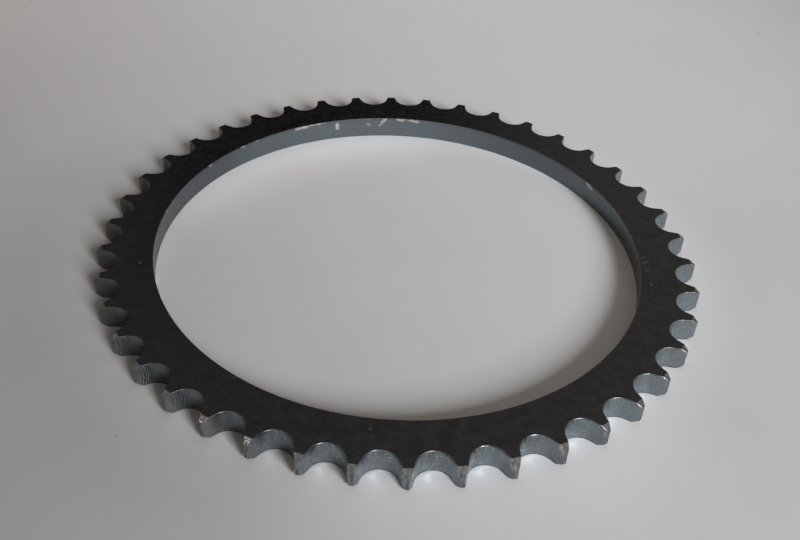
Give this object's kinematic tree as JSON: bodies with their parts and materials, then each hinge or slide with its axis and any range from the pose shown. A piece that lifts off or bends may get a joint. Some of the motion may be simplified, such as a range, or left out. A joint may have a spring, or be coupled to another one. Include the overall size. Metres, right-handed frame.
{
  "type": "chain sprocket",
  "caption": "Flat steel ring sprocket for roller chain: round-seated tooth gaps, bevelled tooth tips and one large plain bore, no hub.",
  "frame": {"origin": "centre of the bore on the underside, the face that the ring lies on", "axes": "+Z along the bore, out of the top face; +X through the middle of one tooth; +Y through the middle of a tooth gap"},
  "size_m": [0.2188, 0.2184, 0.0087],
  "materials": {
    "steel": "black mill scale on both flat faces, bare blue-grey cut steel in the bore and on the tooth flanks, brown-grey machined steel on the bevelled tips"
  },
  "bodies": {
    "root": {"sprocket_ring": "steel"}
  },
  "joints": []
}
